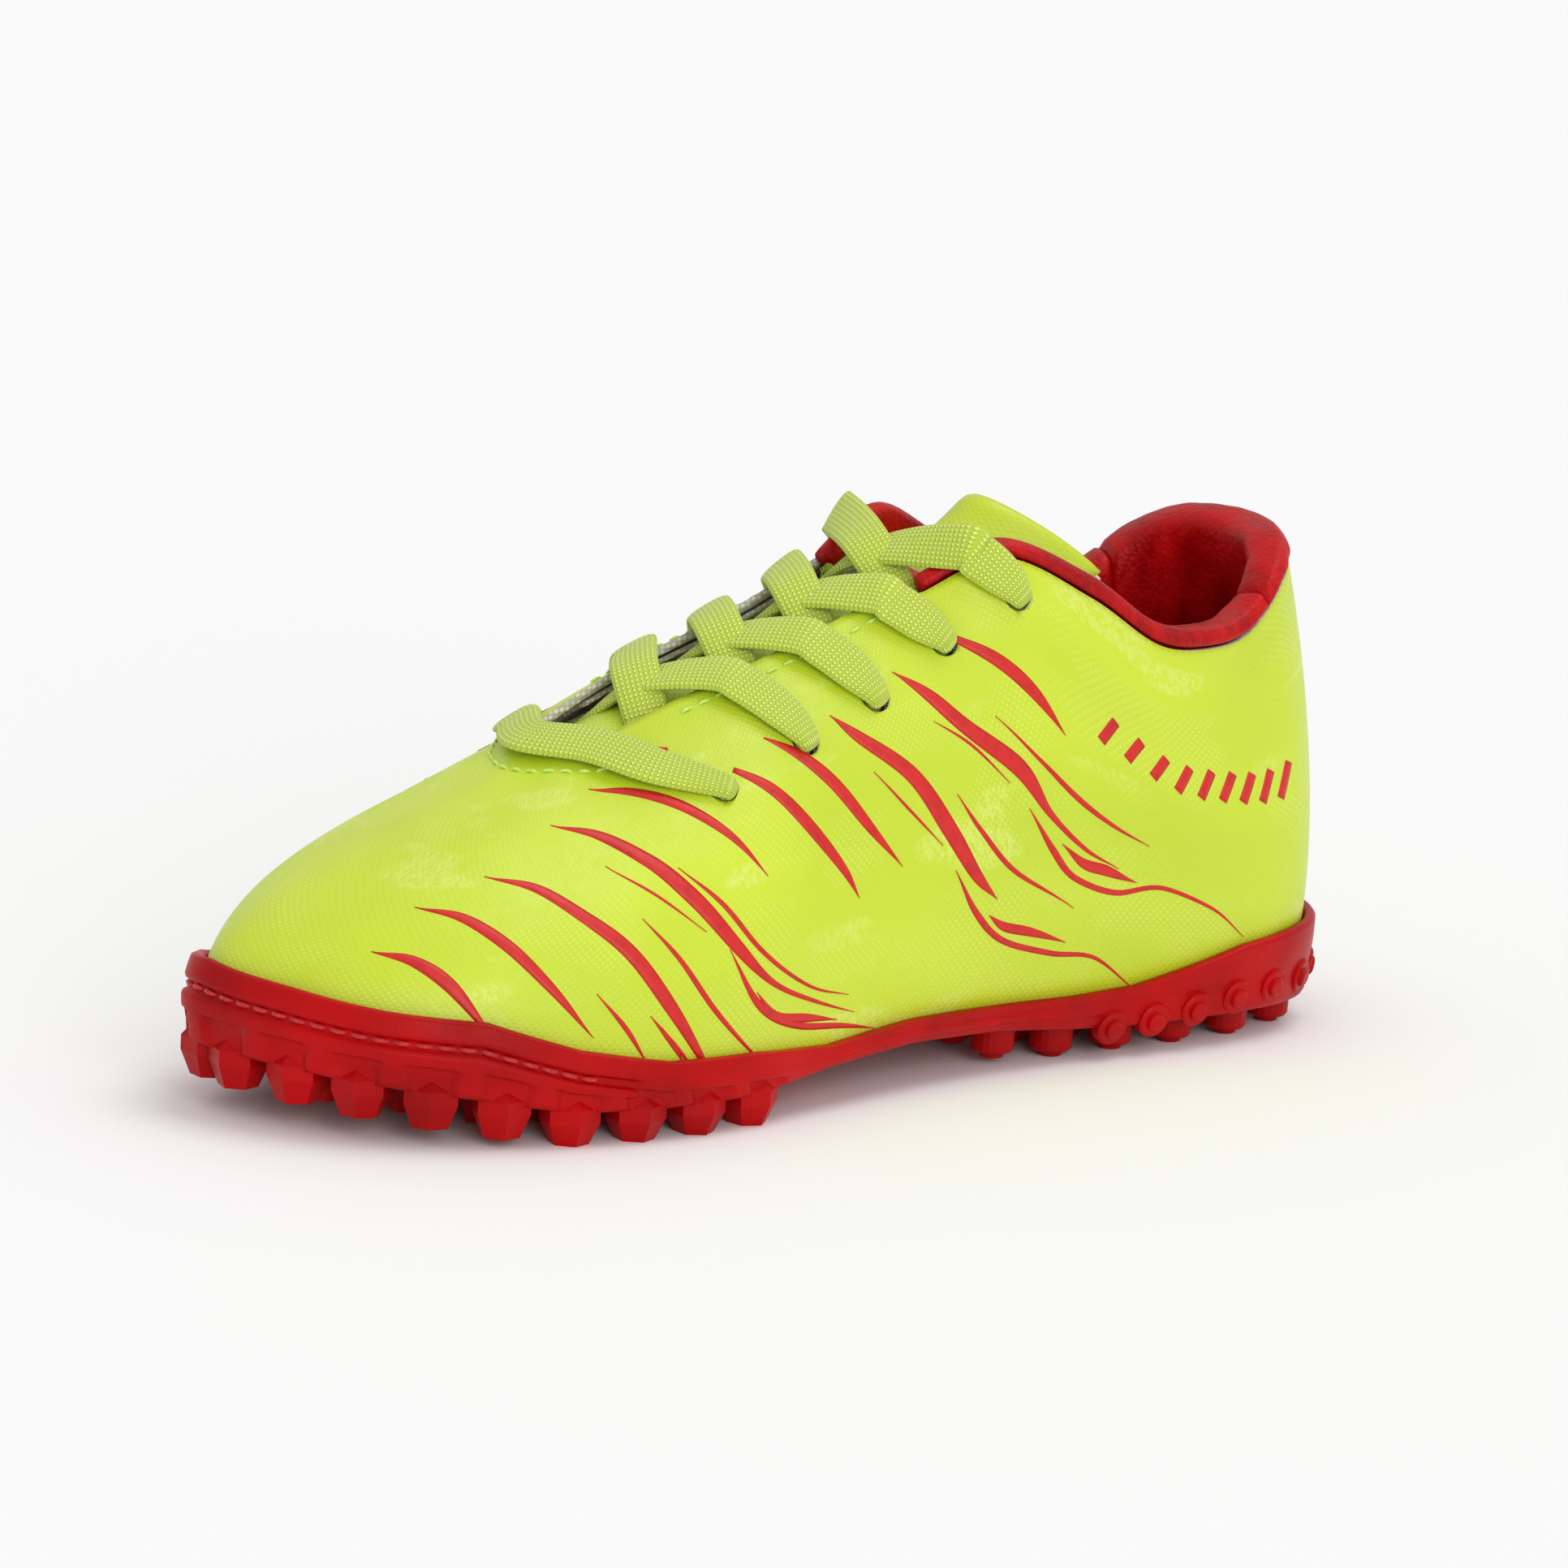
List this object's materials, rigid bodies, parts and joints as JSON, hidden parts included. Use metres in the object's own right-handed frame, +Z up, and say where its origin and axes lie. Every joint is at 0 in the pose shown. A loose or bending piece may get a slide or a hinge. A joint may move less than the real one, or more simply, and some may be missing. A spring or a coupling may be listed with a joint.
{
  "type": "artificial-turf football boot",
  "caption": "Low laced artificial-turf football boot, left foot: lugged rubber cup sole, synthetic upper, padded collar and tongue.",
  "frame": {"origin": "on the ground under the middle of the boot's box", "axes": "+Y from toe to heel, +X to the outer side of the foot, +Z up"},
  "size_m": [0.0798, 0.2214, 0.0925],
  "materials": {
    "sole_rubber": "moulded rubber, satin",
    "insole_board": "pressed fibre board, matt",
    "sockliner_textile": "knitted textile over foam",
    "upper_synthetic": "coated synthetic leather with a fine dot weave, semi-matt",
    "stiffener": "thermoplastic sheet, matt",
    "lining_textile": "brushed textile",
    "collar_leatherette": "soft padded leatherette, satin",
    "eyestay_synthetic": "coated synthetic leather, semi-matt",
    "tongue_synthetic": "coated synthetic leather, semi-matt",
    "foam": "cut foam edge, matt",
    "lace_weave": "flat woven polyester",
    "aglet_film": "clear wrapped film",
    "sole_thread": "twisted nylon",
    "upper_thread": "twisted polyester"
  },
  "bodies": {
    "boot_rear": {"outsole_rear": "sole_rubber", "insole_board_rear": "insole_board", "sockliner_rear": "sockliner_textile", "upper_flex_zone": "upper_synthetic", "upper_quarter_outer": "upper_synthetic", "upper_quarter_inner": "upper_synthetic", "upper_heel": "upper_synthetic", "heel_counter": "stiffener", "quarter_lining": "lining_textile", "collar_pad_outer": "collar_leatherette", "collar_pad_heel": "collar_leatherette", "collar_pad_inner": "collar_leatherette", "eyestay_outer": "eyestay_synthetic", "eyestay_inner": "eyestay_synthetic", "tongue_skin": "tongue_synthetic", "tongue_foam": "foam", "lace": "lace_weave", "aglet_outer": "aglet_film", "aglet_inner": "aglet_film", "throat_arc_thread": "upper_thread", "eyestay_thread_outer": "upper_thread", "eyestay_thread_inner": "upper_thread"},
    "forefoot": {"outsole_forefoot": "sole_rubber", "insole_board_forefoot": "insole_board", "sockliner_forefoot": "sockliner_textile", "upper_toe_box": "upper_synthetic", "toe_puff": "stiffener", "toe_seam_thread": "sole_thread"},
    "tongue_top": {"tongue_top_skin": "tongue_synthetic", "tongue_top_foam": "foam"}
  },
  "joints": [
    {"name": "toe_flex", "type": "hinge", "parent": "boot_rear", "child": "forefoot", "pos_m": [0, -0.05354, 0.013], "axis": [-1, 0, 0], "range_deg": [0, 30], "stiffness_Nm_per_rad": 1.5, "deforming": ["upper_flex_zone"]},
    {"name": "tongue_fold", "type": "hinge", "parent": "boot_rear", "child": "tongue_top", "pos_m": [-0.00369, 0.0316, 0.08528], "axis": [1, 0, 0], "range_deg": [0, 70], "stiffness_Nm_per_rad": 0.05}
  ]
}
